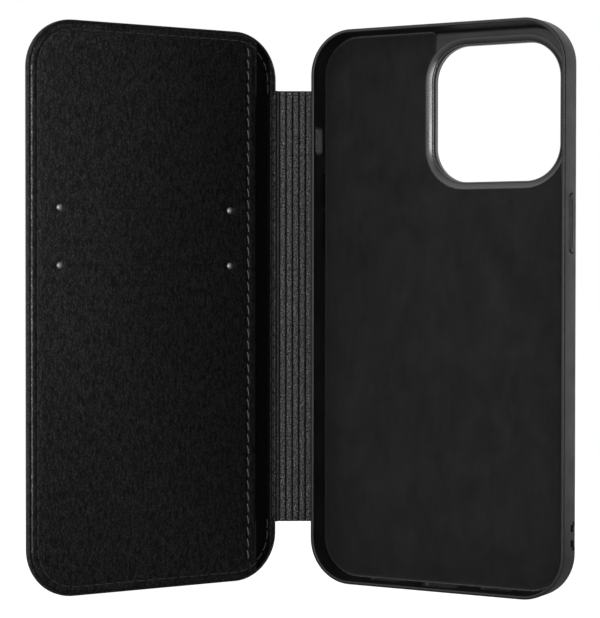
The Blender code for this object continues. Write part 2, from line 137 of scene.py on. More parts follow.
# Soft light from all round: direction, sharpness, strength
AMBIENT = 0.03
GLOWS = (((-0.5, 0.865, 0.0), 1.2, 0.8), ((0.45, 0.89, 0.0), 5.0, 0.5), ((-0.38, -0.92, 0.08), 6.0, 1.9),
         ((-1.0, -0.08, 0.0), 5.0, 0.6), ((-0.35, -0.75, 0.65), 8.0, 0.9), ((0.0, 0.0, 1.0), 3.0, 0.5))

# Softboxes: the front one stands beside the camera, the side one is mirrored by the flap (metres, radiance)
FRONT_TARGET = (0.0, 0.0, 0.09)
FRONT_DIRECTION = (0.438, -0.899, 0.03)
FRONT_DISTANCE = 0.7
FRONT_SIZE = (0.26, 0.26)
FRONT_GLOW = 12.0
SIDE_PLACE = (0.2, -0.09, 0.15)
SIDE_TARGET = (-0.06, -0.03, 0.11)
SIDE_SIZE = (0.08, 0.26)
SIDE_GLOW = 1.25

# Floor, in metres: its radius, and where its paint starts and ends to fade out
FLOOR_RADIUS = 0.5
FLOOR_FADE = (0.16, 0.42)


# ---------------------------------------------------------------- frames

def joint_place(name):
    return next(Vector(joint["pos_m"]) for joint in frame["joints"] if joint["name"] == name)


def middle_of(node):
    low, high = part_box(node)
    return (low + high) / 2


def heading(start, end):
    """Angle of the way from start to end, seen from above."""
    way = end - start
    return math.atan2(way.y, way.x)


def upright_frame(place, turn):
    """Millimetres in an upright frame, to metres in the world."""
    return Matrix.Translation((place[0], place[1], 0)) @ Matrix.Rotation(turn, 4, "Z") @ Matrix.Scale(MM, 4)


SPINE_AXIS = joint_place("spine_hinge")
FLAP_AXIS = joint_place("flap_hinge")
TRAY = upright_frame(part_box("tray_shell")[0], 0.0)
SPINE = upright_frame(SPINE_AXIS, heading(FLAP_AXIS, SPINE_AXIS))
FLAP = upright_frame(FLAP_AXIS, heading(middle_of("rivet_lower_free"), middle_of("rivet_lower_hinge")))


def flap_x(from_free_edge):
    """Places on the flap are measured from its free edge; this gives x in the flap's frame."""
    return from_free_edge + FREE_EDGE


# ---------------------------------------------------------------- mesh helpers

def make_piece(name, verts, faces, matrix, material, flat=None):
    """Object at the world's origin. flat holds each point's place on the unrolled sheet, in millimetres."""
    mesh = bpy.data.meshes.new(name)
    mesh.from_pydata([matrix @ Vector(vert) for vert in verts], [], faces)
    attribute = mesh.attributes.new("flat", "FLOAT_VECTOR", "POINT")
    attribute.data.foreach_set("vector", [part for place in flat or verts for part in place])
    piece = bpy.data.objects.new(name, mesh)
    bpy.context.scene.collection.objects.link(piece)
    mesh.materials.append(material)
    shape = bmesh.new()
    shape.from_mesh(mesh)
    bmesh.ops.recalc_face_normals(shape, faces=shape.faces)
    shape.to_mesh(mesh)
    shape.free()
    mesh.shade_smooth()
    mesh.set_sharp_from_angle(angle=math.radians(BUILT_ANGLE))
    return piece


def quarter_turn(steps):
    """Sine and cosine at equal steps from 0 to 90 degrees."""
    angles = [step / steps * math.pi / 2 for step in range(steps + 1)]
    return [(math.sin(angle), math.cos(angle)) for angle in angles]


def outline(corners, inset, steps=14):
    """Rounded outline as (x, z) points; inset moves it inward.

    corners are (x, z, radius), counter-clockwise, and all of them turn left.
    """
    points = []
    count = len(corners)
    for number, (x, z, radius) in enumerate(corners):
        before = corners[number - 1]
        after = corners[(number + 1) % count]
        into = Vector((x - before[0], z - before[1])).normalized()
        out = Vector((after[0] - x, after[1] - z)).normalized()
        left_in = Vector((-into.y, into.x))
        left_out = Vector((-out.y, out.x))
        sharp = Vector((x, z)) + (left_in + left_out) * inset
        size = max(radius - inset, SMALLEST_RADIUS)
        centre = sharp + (left_in + left_out) * size
        for sine, cosine in quarter_turn(steps):
            spoke = -left_in * cosine - left_out * sine
            points.append(tuple(centre + spoke * size))
    return points


def rounded_box(low, high, radius):
    return [(low[0], low[1], radius), (high[0], low[1], radius), (high[0], high[1], radius),
            (low[0], high[1], radius)]


def join_rings(rings, count, closed=False):
    """Faces between rings of count points each, in order; closed joins the last ring to the first."""
    faces = []
    for ring in range(rings if closed else rings - 1):
        base = ring * count
        other = (ring + 1) % rings * count
        for point in range(count):
            beyond = (point + 1) % count
            faces.append((base + point, base + beyond, other + beyond, other + point))
    return faces


def loft(name, corners, levels, matrix, material, closed=False, steps=14):
    """Rings of one outline at (inset, depth) levels, joined in order, with both ends filled unless closed."""
    verts = []
    for inset, depth in levels:
        verts += [(x, depth, z) for x, z in outline(corners, inset, steps)]
    count = len(verts) // len(levels)
    faces = join_rings(len(levels), count, closed)
    if not closed:
        faces += [tuple(range(count)), tuple(reversed(range(len(verts) - count, len(verts))))]
    return make_piece(name, verts, faces, matrix, material)


def sheet_grid(name, columns, rows, place, matrix, material):
    """Open grid. place(column, row) gives the point and its place on the unrolled sheet."""
    verts = []
    flat = []
    for row in rows:
        for column in columns:
            point, unrolled = place(column, row)
            verts.append(point)
            flat.append(unrolled)
    width = len(columns)
    faces = [(base, base + 1, base + 1 + width, base + width)
             for line in range(len(rows) - 1) for base in range(line * width, line * width + width - 1)]
    return make_piece(name, verts, faces, matrix, material, flat=flat)


def strip(name, profile, heights, material):
    """Upright sheet that follows a profile of (frame, x, y, unrolled) points."""
    world = [((frame_of @ Vector((x, y, 0))).xy, unrolled) for frame_of, x, y, unrolled in profile]

    def place(column, row):
        (x, y), unrolled = world[column]
        return (x, y, row * MM), (unrolled, 0.0, row)

    return sheet_grid(name, range(len(world)), heights, place, Matrix.Identity(4), material)


def cut(piece, cutters):
    """Cuts the cutters' shapes out of a piece, then removes the cutters."""
    for cutter in cutters:
        modifier = piece.modifiers.new(cutter.name, "BOOLEAN")
        modifier.operation = "DIFFERENCE"
        modifier.solver = "EXACT"
        modifier.material_mode = "TRANSFER"
        modifier.object = cutter
    graph = bpy.context.evaluated_depsgraph_get()
    mesh = bpy.data.meshes.new_from_object(piece.evaluated_get(graph), depsgraph=graph)
    piece.modifiers.clear()
    piece.data = mesh
    for cutter in cutters:
        bpy.data.objects.remove(cutter)
    mesh.shade_smooth()
    mesh.set_sharp_from_angle(angle=math.radians(CUT_ANGLE))


def lay_flat(piece, matrix):
    """Gives each vertex its place in a frame, in millimetres, after a cut has mixed the values."""
    back = matrix.inverted()
    values = [part for vert in piece.data.vertices for part in back @ vert.co]
    attributes = piece.data.attributes
    attributes.remove(attributes["flat"])
    attributes.new("flat", "FLOAT_VECTOR", "POINT").data.foreach_set("vector", values)


def slab(low, high, radius, axis, matrix, material, steps=8):
    """Cutter: a box whose edges along one axis are rounded."""
    first, second = [number for number in range(3) if number != axis]
    ring = outline(rounded_box((low[first], low[second]), (high[first], high[second]), radius), 0.0, steps)
    verts = []
    for depth in (low[axis], high[axis]):
        for one, two in ring:
            vert = [0.0, 0.0, 0.0]
            vert[axis] = depth
            vert[first] = one
            vert[second] = two
            verts.append(tuple(vert))
    count = len(ring)
    faces = join_rings(2, count)
    faces += [tuple(range(count)), tuple(reversed(range(count, 2 * count)))]
    return make_piece("cutter", verts, faces, matrix, material)


def tube(name, lines, radius, matrix, material):
    """Round threads along lists of points."""
    curve = bpy.data.curves.new(name, "CURVE")
    curve.dimensions = "3D"
    curve.bevel_depth = radius * MM
    curve.bevel_resolution = 3
    curve.use_fill_caps = True
    for line in lines:
        spline = curve.splines.new("POLY")
        spline.points.add(len(line) - 1)
        for point, place in zip(spline.points, line):
            point.co = (*(matrix @ Vector(place)), 1.0)
    curve.materials.append(material)
    piece = bpy.data.objects.new(name, curve)
    bpy.context.scene.collection.objects.link(piece)
    return piece


# ---------------------------------------------------------------- material helpers

class Nodes:
    """Short way to write a node tree."""

    def __init__(self, name):
        self.material = bpy.data.materials.new(name)
        self.material.use_nodes = True
        self.tree = self.material.node_tree
        self.shader = self.tree.nodes["Principled BSDF"]

    def add(self, kind, settings=None, **inputs):
        node = self.tree.nodes.new(kind)
        for key, value in (settings or {}).items():
            setattr(node, key, value)
        for key, value in inputs.items():
            self.put(node.inputs[key.replace("_", " ")], value)
        return node

    def put(self, socket, value):
        if isinstance(value, bpy.types.NodeSocket):
            self.tree.links.new(value, socket)
        else:
            socket.default_value = value

    def flat(self, stretch=(1.0, 1.0, 1.0)):
        """Place on the unrolled sheet in millimetres, times a stretch."""
        source = self.add("ShaderNodeAttribute", {"attribute_name": "flat"}).outputs["Vector"]
        return self.scaled(source, stretch)

    def solid(self, stretch=(1.0, 1.0, 1.0)):
        """Place in the object in millimetres, times a stretch."""
        source = self.add("ShaderNodeTexCoord").outputs["Object"]
        return self.scaled(source, tuple(part / MM for part in stretch))

    def scaled(self, source, stretch):
        return self.add("ShaderNodeMapping", Vector=source, Scale=stretch).outputs["Vector"]

    def noise(self, vector, scale, detail=3.0, roughness=0.55, distortion=0.0):
        node = self.add("ShaderNodeTexNoise", Vector=vector, Scale=scale, Detail=detail, Roughness=roughness,
                        Distortion=distortion)
        return node.outputs["Fac"]

    def cells(self, vector, scale):
        """Distance to the edge of the cell."""
        node = self.add("ShaderNodeTexVoronoi", {"feature": "DISTANCE_TO_EDGE"}, Vector=vector, Scale=scale)
        return node.outputs["Distance"]

    def span(self, value, low, high, to_low=0.0, to_high=1.0):
        node = self.add("ShaderNodeMapRange", {"clamp": True}, Value=value, From_Min=low, From_Max=high,
                        To_Min=to_low, To_Max=to_high)
        return node.outputs["Result"]

    def maths(self, operation, one, two):
        node = self.tree.nodes.new("ShaderNodeMath")
        node.operation = operation
        self.put(node.inputs[0], one)
        self.put(node.inputs[1], two)
        return node.outputs["Value"]

    def weigh(self, one, share_one, two, share_two):
        """Weighted sum of two values."""
        first = self.maths("MULTIPLY", one, share_one)
        return self.maths("ADD", first, self.maths("MULTIPLY", two, share_two))

    def between(self, factor, dark, light):
        """Colour between a dark and a light one."""
        node = self.tree.nodes.new("ShaderNodeMix")
        node.data_type = "RGBA"
        self.put(node.inputs["Factor"], factor)
        self.put(node.inputs[6], (*dark, 1.0))
        self.put(node.inputs[7], (*light, 1.0))
        return node.outputs[2]

    def bump(self, height, strength, distance_mm):
        node = self.add("ShaderNodeBump", Height=height, Strength=strength, Distance=distance_mm * MM)
        return node.outputs["Normal"]

    def finish(self, colour, roughness, normal=None, **more):
        self.put(self.shader.inputs["Base Color"], colour)
        self.put(self.shader.inputs["Roughness"], roughness)
        if normal is not None:
            self.put(self.shader.inputs["Normal"], normal)
        for key, value in more.items():
            self.put(self.shader.inputs[key.replace("_", " ")], value)
        return self.material


def leather(name, dark, light, rough, grain, stretch, relief, specular, ribbed=False):
    """Leatherette: fine creased cells, soft mottling, varied sheen and, if ribbed, painted shade that darkens the
    grooves between the ribs.
    """
    make = Nodes(name)
    cells = make.cells(make.flat((1.0, 1.0, stretch)), grain)
    fine = make.noise(make.flat(), 2.6, 4.0, 0.6)
    creased = make.span(cells, 0.0, 0.16)
    lines = make.noise(make.flat((1.0, 1.0, stretch * 0.6)), grain * 0.8, 5.0, 0.65, 0.6)
    height = make.weigh(creased, 0.6, lines, 0.7)
    patches = make.noise(make.flat(), 0.09, 3.0, 0.6)
    tone = make.weigh(make.span(lines, 0.3, 0.75), 0.55, patches, 0.45)
    raised = make.maths("MULTIPLY", creased, make.span(lines, 0.35, 0.6))
    shine = make.span(raised, 0.0, 1.0, specular * 0.35, specular * 1.5)
    if ribbed:
        speck = make.span(make.noise(make.flat((1.0, 1.0, 0.8)), 2.4, 2.0, 0.5), 0.38, 0.62)
        tone = make.weigh(tone, 0.25, speck, 0.75)
        across = make.add("ShaderNodeSeparateXYZ", Vector=make.flat()).outputs["X"]
        ribs = make.maths("DIVIDE", make.maths("ADD", across, SPINE_LENGTH - RIB_FIRST), RIB_PITCH)
        # Painted shade: the colour darkens and the specular dims towards each groove between the ribs, where shade
        # falls.
        crown = make.span(make.maths("PINGPONG", ribs, 0.5), 0.05, 0.2)
        tone = make.maths("MULTIPLY", tone, crown)
        shine = make.maths("MULTIPLY", make.span(crown, 0.0, 1.0, 0.15, 1.0),
                           make.span(speck, 0.0, 1.0, specular * 0.45, specular * 1.7))
    colour = make.between(tone, dark, light)
    sheen = make.span(fine, 0.3, 0.7, rough - 0.08, rough + 0.1)
    return make.finish(colour, sheen, make.bump(height, 1.0, relief), Specular_IOR_Level=shine)


def moulded(name, dark, light, rough, relief=0.012, specular=0.5):
    """Moulded plastic: fine spark-eroded grain and slight patches of sheen."""
    make = Nodes(name)
    grain = make.noise(make.solid(), 5.5, 3.0, 0.6)
    patches = make.noise(make.solid(), 0.12, 2.0, 0.5)
    colour = make.between(make.span(patches, 0.3, 0.7), dark, light)
    sheen = make.span(make.weigh(patches, 0.6, grain, 0.4), 0.35, 0.65, rough - 0.07, rough + 0.07)
    return make.finish(colour, sheen, make.bump(grain, 0.8, relief), Specular_IOR_Level=specular)


def nap():
    """Microfibre: short brushed pile with tonal mottling."""
    make = Nodes("microfibre_nap")
    fibres = make.noise(make.solid((1.0, 1.0, 0.55)), 4.2, 4.0, 0.7, 0.8)
    mottle = make.noise(make.solid((1.0, 1.0, 0.7)), 0.11, 3.0, 0.6, 0.4)
    brushed = make.noise(make.solid((1.0, 1.0, 0.25)), 0.5, 3.0, 0.6)
    tone = make.maths("ADD", make.maths("MULTIPLY", mottle, 0.6), make.weigh(brushed, 0.25, fibres, 0.6))
    colour = make.between(make.span(tone, 0.5, 0.95), (0.0045, 0.0045, 0.0048), (0.015, 0.015, 0.0155))
    return make.finish(colour, 0.95, make.bump(fibres, 1.0, 0.05), Specular_IOR_Level=0.2, Sheen_Weight=0.25,
                       Sheen_Roughness=0.4)


def yarn(name, dark, light):
    """Twisted thread, from slanted bands along it."""
    make = Nodes(name)
    place = make.solid()
    bands = make.add("ShaderNodeTexWave", {"wave_type": "BANDS", "bands_direction": "DIAGONAL"}, Vector=place,
                     Scale=1.6, Distortion=1.5, Detail=2.0).outputs["Fac"]
    fuzz = make.noise(place, 6.0, 3.0, 0.6)
    tone = make.weigh(bands, 0.6, fuzz, 0.4)
    return make.finish(make.between(tone, dark, light), make.span(fuzz, 0.3, 0.7, 0.55, 0.75),
                       make.bump(bands, 0.8, 0.05))


def steel():
    """Satin steel with fine turned scratches."""
    make = Nodes("rivet_steel_satin")
    scratches = make.noise(make.solid((1.0, 1.0, 6.0)), 3.0, 4.0, 0.7)
    colour = make.between(make.span(scratches, 0.3, 0.7), (0.3, 0.3, 0.31), (0.42, 0.42, 0.43))
    return make.finish(colour, make.span(scratches, 0.3, 0.7, 0.42, 0.56), make.bump(scratches, 0.4, 0.01),
                       Metallic=1.0)


def board():
    """Grey board with pressed fibres."""
    make = Nodes("stiff_board_fibres")
    fibres = make.noise(make.solid((1.0, 1.0, 0.4)), 1.6, 5.0, 0.7)
    return make.finish(make.between(fibres, (0.16, 0.15, 0.14), (0.32, 0.31, 0.29)), 0.85,
                       make.bump(fibres, 0.6, 0.05))


def cloth():
    """Thin plain-woven lining."""
    make = Nodes("pocket_cloth_weave")
    place = make.solid()
    warp = make.add("ShaderNodeTexWave", {"wave_type": "BANDS", "bands_direction": "X"}, Vector=place,
                    Scale=1.1).outputs["Fac"]
    weft = make.add("ShaderNodeTexWave", {"wave_type": "BANDS", "bands_direction": "Z"}, Vector=place,
                    Scale=1.1).outputs["Fac"]
    weave = make.maths("MULTIPLY", warp, weft)
    return make.finish(make.between(weave, (0.01, 0.01, 0.011), (0.03, 0.03, 0.032)), 0.9,
                       make.bump(weave, 0.8, 0.05))


OUTER = leather("outer_leather_grain", (0.005, 0.005, 0.0053), (0.009, 0.009, 0.0094), rough=0.45,
                grain=1.3, stretch=0.8, relief=0.12, specular=0.4)
PANEL = leather("panel_leather_grain", (0.0003, 0.0003, 0.00035), (0.002, 0.002, 0.0021), rough=0.34,
                grain=1.5, stretch=0.55, relief=0.022, specular=0.5)
# Spine leather: ribbed, so its grooves get painted shade.
SPINE_LEATHER = leather("spine_leather_grain", (0.003, 0.003, 0.0031), (0.095, 0.095, 0.096), rough=0.42,
                        grain=1.9, stretch=0.75, relief=0.25, specular=0.55, ribbed=True)
EDGE_BAND = leather("edge_band_grain", (0.001, 0.001, 0.0011), (0.006, 0.006, 0.0062), rough=0.5,
                    grain=1.9, stretch=0.75, relief=0.15, specular=0.3)
# Painted shade: the channel's lining leather is a darker, far less shiny copy of the band's, standing in for the
# shade in the channel; its smoother grain is real.
CHANNEL_PAINTED_SHADE = leather("smooth_lining_painted_shade", (0.0006, 0.0006, 0.00065), (0.0011, 0.0011, 0.0012), rough=0.7,
                 grain=2.4, stretch=0.8, relief=0.02, specular=0.06)
RUBBER = moulded("soft_plastic_grain", (0.0022, 0.0022, 0.0023), (0.0045, 0.0045, 0.0046), rough=0.4)
BEZEL = moulded("bezel_plastic_satin", (0.004, 0.004, 0.0041), (0.007, 0.007, 0.0071), rough=0.26,
                relief=0.004, specular=0.85)
NAP = nap()
DARK_THREAD = yarn("dark_thread_twist", (0.006, 0.006, 0.0063), (0.022, 0.022, 0.0225))
SEAM_THREAD = yarn("seam_thread_twist", (0.05, 0.05, 0.052), (0.13, 0.13, 0.133))
STEEL = steel()
BOARD = board()
CLOTH = cloth()


# ---------------------------------------------------------------- tray

def camera_box(margin=0.0):
    """Low and high corners of the camera cut-out, grown by a margin."""
    x, z = CAMERA_CENTRE
    half_x, half_z = CAMERA_OPENING[0] / 2, CAMERA_OPENING[1] / 2
    return (x - half_x - margin, z - half_z - margin), (x + half_x + margin, z + half_z + margin)


def side_cutter(sign, low, high, radius, reach=CUT_REACH):
    """Cutter through a side wall between two (y, z) corners; sign is 1 for the right wall."""
    outer = WIDTH if sign > 0 else 0.0
    start, end = sorted((outer - sign * reach, outer + sign * CUT_PAST))
    return slab((start, *low), (end, *high), radius, 0, TRAY, RUBBER)


def bottom_cutter(low, high, radius):
    """Cutter through the lower wall between two (x, y) corners."""
    return slab((*low, -CUT_PAST), (*high, CUT_REACH), radius, 2, TRAY, RUBBER)


def tray_shell():
    """Moulded tray: rounded rim, camera cut-out, button windows, slots and lanyard holes."""
    body = rounded_box((0.0, 0.0), (WIDTH, HEIGHT), TRAY_CORNER)
    rim = [(0.0, 0.8), (0.02, 0.42), (0.08, 0.18), (0.18, 0.05), (0.32, 0.0), (0.84, 0.0), (0.96, 0.05),
           (1.06, 0.18), (1.1, 0.45), (1.16, 1.2), (1.3, 2.4), (1.52, 3.6), (WALL, 4.4)]
    back = [(BACK_ROUND - BACK_ROUND * sine, TRAY_DEPTH - BACK_ROUND + BACK_ROUND * cosine)
            for sine, cosine in quarter_turn(8)]
    fillet = 0.9
    inner = [(WALL + fillet - fillet * cosine, FLOOR_FACE - fillet + fillet * sine)
             for sine, cosine in quarter_turn(4)]
    shell = loft("tray_shell_moulding", body, back + rim + inner, TRAY, RUBBER, steps=20)

    chamfer = [(-2.55, FLOOR_FACE - 0.25), (-0.5, FLOOR_FACE + 0.7), (-0.5, TRAY_DEPTH + CUT_PAST)]
    cutters = [loft("cutter", rounded_box(*camera_box(), CAMERA_CORNER), chamfer, TRAY, BEZEL)]
    cutters += [side_cutter(sign, (3.35, low - 0.25), (7.05, high + 0.25), 1.45)
                for _, (low, high), sign in BUTTONS]
    mute_slot = side_cutter(-1, (0.95, 128.0), (4.3, 137.0), 1.5)
    charging_slot = bottom_cutter((34.2, 1.9), (47.8, 7.3), 2.6)
    speaker_slots = [bottom_cutter((low, 3.3), (high, 5.9), 1.28)
                     for low, high in ((17.5, 28.5), (53.5, 64.5))]
    lanyard_recess = side_cutter(1, (5.0, 14.1), (8.8, 22.3), 1.86, reach=0.4)
    cut(shell, cutters + [mute_slot, charging_slot, *speaker_slots, lanyard_recess])
    cut(shell, [side_cutter(1, (5.8, height - 1.1), (8.0, height + 1.1), 1.08) for height in (16.0, 20.4)])
    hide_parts("tray_shell")
    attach(shell, "tray")


def tray_lining():
    """Sheet glued to the floor that climbs the walls in a soft fillet, notched round the camera."""
    body = rounded_box((WALL, WALL), (WIDTH - WALL, HEIGHT - WALL), TRAY_CORNER - WALL)
    levels = [(0.5, FLOOR_FACE - 0.06), (0.02, FLOOR_FACE - 1.4), (0.02, 6.15), (0.12, 6.2)]
    levels += [(0.12 + 1.9 * (1 - cosine), LINING_FACE - 2.1 + 2.1 * sine)
               for sine, cosine in quarter_turn(8)]
    lining = loft("tray_lining_nap", body, levels, TRAY, NAP, steps=20)
    (left, base), (right, top) = camera_box(LINING_MARGIN)
    round_camera = slab((left, 0.0, base), (right, 12.0, top), CAMERA_CORNER + LINING_MARGIN, 1, TRAY, NAP)
    above = slab((left + 3.4, 0.0, top - 16), (WIDTH + 12, 12.0, HEIGHT + 12), 1.0, 1, TRAY, NAP)
    cut(lining, [round_camera])
    cut(lining, [above])
    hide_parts("tray_lining")
    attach(lining, "tray")


def camera_bezel():
    """Ring that lines the camera cut-out and stands proud of the back."""
    levels = [(0.0, 9.9), (-0.06, 9.76), (-0.18, 9.7), (-0.36, 9.7), (-0.45, 9.78), (-0.46, 9.9),
              (-0.46, 11.1), (-2.3, 11.12), (-2.4, 11.3), (-2.4, 12.3), (-2.28, 12.62), (-2.0, 12.83),
              (-1.6, 12.9), (-0.4, 12.9), (-0.14, 12.84), (0.0, 12.7), (0.0, 11.3), (0.06, 11.15),
              (0.06, 11.0), (0.0, 10.9)]
    ring = loft("camera_bezel_ring", rounded_box(*camera_box(), CAMERA_CORNER), levels, TRAY, BEZEL,
                closed=True, steps=16)
    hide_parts("camera_bezel")
    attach(ring, "tray")


def button(name, span, sign):
    """Pad with a soft edge and a low bar along it, in its window in the wall."""
    outer = WIDTH if sign > 0 else 0.0
    corners = rounded_box((3.6, span[0]), (6.8, span[1]), 1.2)
    levels = [(0.0, -1.15), (0.0, 0.05), (0.05, 0.16), (0.18, 0.24), (0.4, 0.25), (0.8, 0.22), (1.1, 0.22),
              (1.25, 0.3), (1.4, 0.33)]
    verts = []
    for inset, height in levels:
        verts += [(outer + sign * height, y, z) for y, z in outline(corners, inset, 8)]
    count = len(verts) // len(levels)
    faces = join_rings(len(levels), count)
    faces += [tuple(range(count)), tuple(range(len(verts) - count, len(verts)))]
    pad = make_piece(name + "_pad", verts, faces, TRAY, RUBBER)
    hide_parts(name)
    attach(pad, name)


# ---------------------------------------------------------------- outer leather

def spaced(low, high, spacing):
    parts = max(1, round((high - low) / spacing))
    return [low + (high - low) * part / parts for part in range(parts + 1)]


def outer_back():
    """Sheet on the tray's back, with the camera hole."""
    body = rounded_box((BACK_INSET, BACK_INSET), (WIDTH - BACK_INSET, HEIGHT - BACK_INSET), BACK_CORNER)
    near, far = SKIN_MIDDLE - SKIN_HALF, SKIN_MIDDLE + SKIN_HALF
    levels = [(0.12, near), (0.0, near + 0.1), (0.0, far - 0.3), (0.08, far - 0.1), (0.3, far)]
    sheet = loft("outer_leather_back", body, levels, TRAY, OUTER)
    hole = [(-SKIN_HOLE_MARGIN, near - CUT_PAST), (-SKIN_HOLE_MARGIN, far + CUT_PAST)]
    cut(sheet, [loft("cutter", rounded_box(*camera_box(), CAMERA_CORNER), hole, TRAY, OUTER)])
    lay_flat(sheet, TRAY)
    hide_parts("back_skin")
    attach(sheet, "tray")


def crease_strip(name, run, heights, unroll):
    """Closed strip of outer leather through a crease: run has (frame, x, y) places, unroll their flat x."""
    path = []
    for frame_of, x, level in run:
        middle = frame_of @ Vector((x, level, 0))
        ahead = frame_of @ Vector((x - 0.1, level, 0))
        along = (ahead - middle).normalized()
        across = Vector((-along.y, along.x, 0))
        path.append((middle, across))
    verts = []
    flat = []
    outer = [middle + across * SKIN_HALF * MM for middle, across in path]
    inner = [middle - across * SKIN_HALF * MM for middle, across in path]
    loop = [(point, number) for number, point in enumerate(outer)]
    loop += [(point, number) for number, point in reversed(list(enumerate(inner)))]
    for height in heights:
        for point, number in loop:
            verts.append((point.x, point.y, height * MM))
            flat.append((unroll[number], 0.0, height))
    size = len(loop)
    faces = join_rings(len(heights), size)
    for base in (0, (len(heights) - 1) * size):
        for point in range(len(path) - 1):
            faces.append((base + point, base + point + 1, base + size - 2 - point, base + size - 1 - point))
    return make_piece(name, verts, faces, Matrix.Identity(4), OUTER, flat=flat)


def outer_creases():
    """The two bending stretches of the one sheet of outer leather, which meet at the middle of the spine."""
    heights = [SPINE_BASE, SPINE_BASE + 0.12, SPINE_TOP - 0.12, SPINE_TOP]
    heights = sorted(heights + spaced(SPINE_BASE + 1, SPINE_TOP - 1, 6))
    tray_steps = (*CREASE_STEPS, 6.0)
    spine_steps = (*CREASE_STEPS, SPINE_LENGTH / 2)
    flap_steps = (*CREASE_STEPS, 5.0)
    run = [(TRAY, -CREASE + x, SKIN_MIDDLE) for x in reversed(tray_steps)]
    run += [(SPINE, -x, 0.0) for x in spine_steps]
    unroll = [*reversed(tray_steps), *(-x for x in spine_steps)]
    first = crease_strip("outer_leather_tray_crease", run, heights, unroll)
    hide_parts("spine_skin")
    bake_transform(first, "tray", "spine", TRAY @ Vector((-CREASE + 1.6, SKIN_MIDDLE, 0)),
             SPINE @ Vector((-1.6, 0, 0)))
    run = [(SPINE, -SPINE_LENGTH + x, 0.0) for x in reversed(spine_steps)]
    run += [(FLAP, -x, 0.0) for x in flap_steps]
    unroll = [-SPINE_LENGTH + x for x in reversed(spine_steps)] + [-SPINE_LENGTH - x for x in flap_steps]
    second = crease_strip("outer_leather_flap_crease", run, heights, unroll)
    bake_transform(second, "spine", "flap", SPINE @ Vector((-SPINE_LENGTH + 1.6, 0, 0)),
             FLAP @ Vector((-1.6, 0, 0)))


def outer_flap():
    """Outer sheet of the flap, turned over its edge; the hinge side is left open between the spine's ends."""
    levels = [(1.9, 0.4), (1.2, 0.38), (0.7, 0.3), (0.32, 0.12), (0.1, -0.16), (0.0, -0.55), (0.0, -1.4),
              (0.04, -1.75), (0.14, -2.0), (0.3, -2.14), (0.5, -2.16), (0.66, -2.06), (0.72, -1.85),
              (0.72, -0.42)]
    corners = rounded_box((FREE_EDGE, 0.0), (HINGE_EDGE, HEIGHT), FLAP_CORNER)
    sheet = loft("outer_leather_flap", corners, levels, FLAP, OUTER, steps=20)
    gap = slab((HINGE_EDGE - 1.6, -5.0, SPINE_BASE + 0.02), (HINGE_EDGE + 4, -SKIN_HALF, SPINE_TOP - 0.02),
               0.3, 1, FLAP, OUTER)
    cut(sheet, [gap])
    lay_flat(sheet, FLAP)
    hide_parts("flap_skin")
    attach(sheet, "flap")


# ---------------------------------------------------------------- spine lining

def groove_profile(start, end):
    """Inner face of the spine between two places, with its pressed grooves: (frame, x, y, unrolled)."""
    profile = []
    places = [-SPINE_LENGTH + RIB_FIRST + RIB_PITCH * number for number in range(6)]
    shape = ((-0.42, 0.0), (-0.26, 0.05), (-0.13, 0.2), (-0.04, 0.28),
             (0.04, 0.28), (0.13, 0.2), (0.26, 0.05), (0.42, 0.0))
    for place in places:
        crown = place - RIB_PITCH / 2
        for x, y in ((crown - 0.25, -0.05), (crown + 0.25, -0.05)):
            profile.append((x, SPINE_FACE + y))
        for x, y in shape:
            profile.append((place + x, SPINE_FACE + y))
    profile.append((places[-1] + RIB_PITCH / 2, SPINE_FACE - 0.04))
    return [(SPINE, x, y, x) for x, y in profile if start <= x <= end]


def spine_lining():
    """Ribbed inner leather of the spine: two halves that meet in a groove and bend with their creases."""
    heights = spaced(SPINE_BASE, SPINE_TOP, 1.5)
    split = -SPINE_LENGTH + RIB_FIRST + RIB_PITCH * 2
    left = [(FLAP, -2.4, -1.15, -16.2), (FLAP, -1.7, -1.35, -15.5), (FLAP, -1.2, -1.5, -15.0),
            (FLAP, -0.75, -1.45, -14.5)]
    left += groove_profile(-SPINE_LENGTH + 0.4, split + 0.001)
    left.append((SPINE, split, SPINE_FACE + 0.28, split))
    first = strip("spine_lining_flap_half", left, heights, SPINE_LEATHER)
    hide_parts("spine_lining")
    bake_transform(first, "spine", "flap", SPINE @ Vector((-SPINE_LENGTH + 1.0, 0, 0)), FLAP @ Vector((-1.0, 0, 0)))
    right = [(SPINE, split, SPINE_FACE + 0.28, split)]
    right += groove_profile(split + 0.002, -1.1)
    right += [(SPINE, -0.9, SPINE_FACE + 0.05, -0.9), (TRAY, -1.25, SKIN_MIDDLE - 1.1, -0.4),
              (TRAY, -0.6, SKIN_MIDDLE - 0.85, 0.3), (TRAY, 0.4, SKIN_MIDDLE - 0.45, 1.3)]
    second = strip("spine_lining_tray_half", right, heights, SPINE_LEATHER)
    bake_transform(second, "tray", "spine", TRAY @ Vector((-CREASE + 1.0, SKIN_MIDDLE, 0)),
             SPINE @ Vector((-1.0, 0, 0)))


# ---------------------------------------------------------------- flap's inside

def rounded_distance(x, z, low, high, radius):
    """Depth inside a rounded rectangle, in millimetres."""
    centre_x, centre_z = (low[0] + high[0]) / 2, (low[1] + high[1]) / 2
    out_x = abs(x - centre_x) - (high[0] - low[0]) / 2 + radius
    out_z = abs(z - centre_z) - (high[1] - low[1]) / 2 + radius
    outside = math.hypot(max(out_x, 0.0), max(out_z, 0.0)) + min(max(out_x, out_z), 0.0) - radius
    return -outside


def ease(value, low, high):
    share = min(max((value - low) / (high - low), 0.0), 1.0)
    return share * share * (3 - 2 * share)


def column_ends(z, inset, right_edge):
    """Left and right ends of the flap's inside at a height."""
    radius = FLAP_CORNER - inset
    reach = max(inset + radius - z, z - (HEIGHT - inset - radius), 0.0)
    bite = radius - math.sqrt(max(radius * radius - reach * reach, 0.0))
    right = WIDTH - inset - bite
    return inset + bite, min(right, right_edge)


